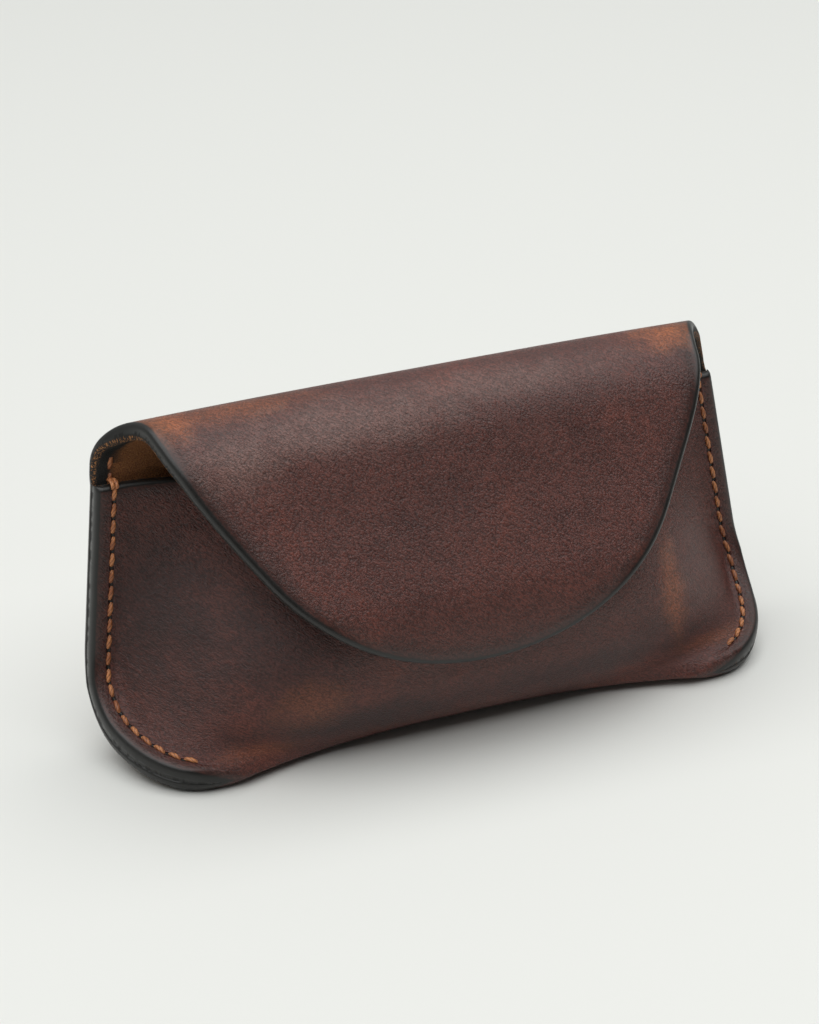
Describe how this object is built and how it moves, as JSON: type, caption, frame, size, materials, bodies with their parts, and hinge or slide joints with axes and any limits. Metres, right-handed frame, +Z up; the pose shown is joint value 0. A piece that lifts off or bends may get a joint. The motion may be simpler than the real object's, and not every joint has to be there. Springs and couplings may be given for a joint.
{
  "type": "leather glasses case",
  "caption": "Moulded leather glasses case with sewn sides and a flap that folds over the crown and down over the mouth.",
  "frame": {"origin": "middle of the case's outline, on the surface it stands on", "axes": "+X to the right of the closed case seen from its front, +Y to its back, +Z up"},
  "size_m": [0.164, 0.0501, 0.0774],
  "materials": {
    "leather": "oiled full-grain, satin",
    "flesh_leather": "matte suede",
    "waxed_thread": "waxed",
    "magnet_plating": "satin nickel"
  },
  "bodies": {
    "pouch": {"back_panel": "leather", "front_panel": "leather", "left_seam_thread": "waxed_thread", "right_seam_thread": "waxed_thread", "pouch_magnet": "magnet_plating", "pouch_magnet_cover": "flesh_leather"},
    "fold_strip_1": {"crown_fold_1": "leather"},
    "fold_strip_2": {"crown_fold_2": "leather"},
    "fold_strip_3": {"crown_fold_3": "leather"},
    "fold_strip_4": {"crown_fold_4": "leather"},
    "flap": {"flap": "leather", "flap_magnet": "magnet_plating", "flap_magnet_cover": "flesh_leather"}
  },
  "joints": [
    {"name": "flap_open", "type": "hinge", "parent": "pouch", "child": "fold_strip_1", "pos_m": [0, 0.02507, 0.06735], "axis": [-1, 0, 0], "range_deg": [0, 30]},
    {"name": "fold_line_2", "type": "hinge", "parent": "fold_strip_1", "child": "fold_strip_2", "pos_m": [0, 0.02282, 0.07298], "axis": [-1, 0, 0], "range_deg": [0, 30]},
    {"name": "fold_line_3", "type": "hinge", "parent": "fold_strip_2", "child": "fold_strip_3", "pos_m": [0, 0.01801, 0.07666], "axis": [-1, 0, 0], "range_deg": [0, 30]},
    {"name": "fold_line_4", "type": "hinge", "parent": "fold_strip_3", "child": "fold_strip_4", "pos_m": [0, 0.01199, 0.07737], "axis": [-1, 0, 0], "range_deg": [0, 30]},
    {"name": "fold_line_5", "type": "hinge", "parent": "fold_strip_4", "child": "flap", "pos_m": [0, 0.00277, 0.07282], "axis": [-1, 0, 0], "range_deg": [0, 30]}
  ],
  "couplings": [
    {"joint": "fold_line_2", "follows": "flap_open", "ratio": 1},
    {"joint": "fold_line_3", "follows": "flap_open", "ratio": 1},
    {"joint": "fold_line_4", "follows": "flap_open", "ratio": 1},
    {"joint": "fold_line_5", "follows": "flap_open", "ratio": 1}
  ]
}
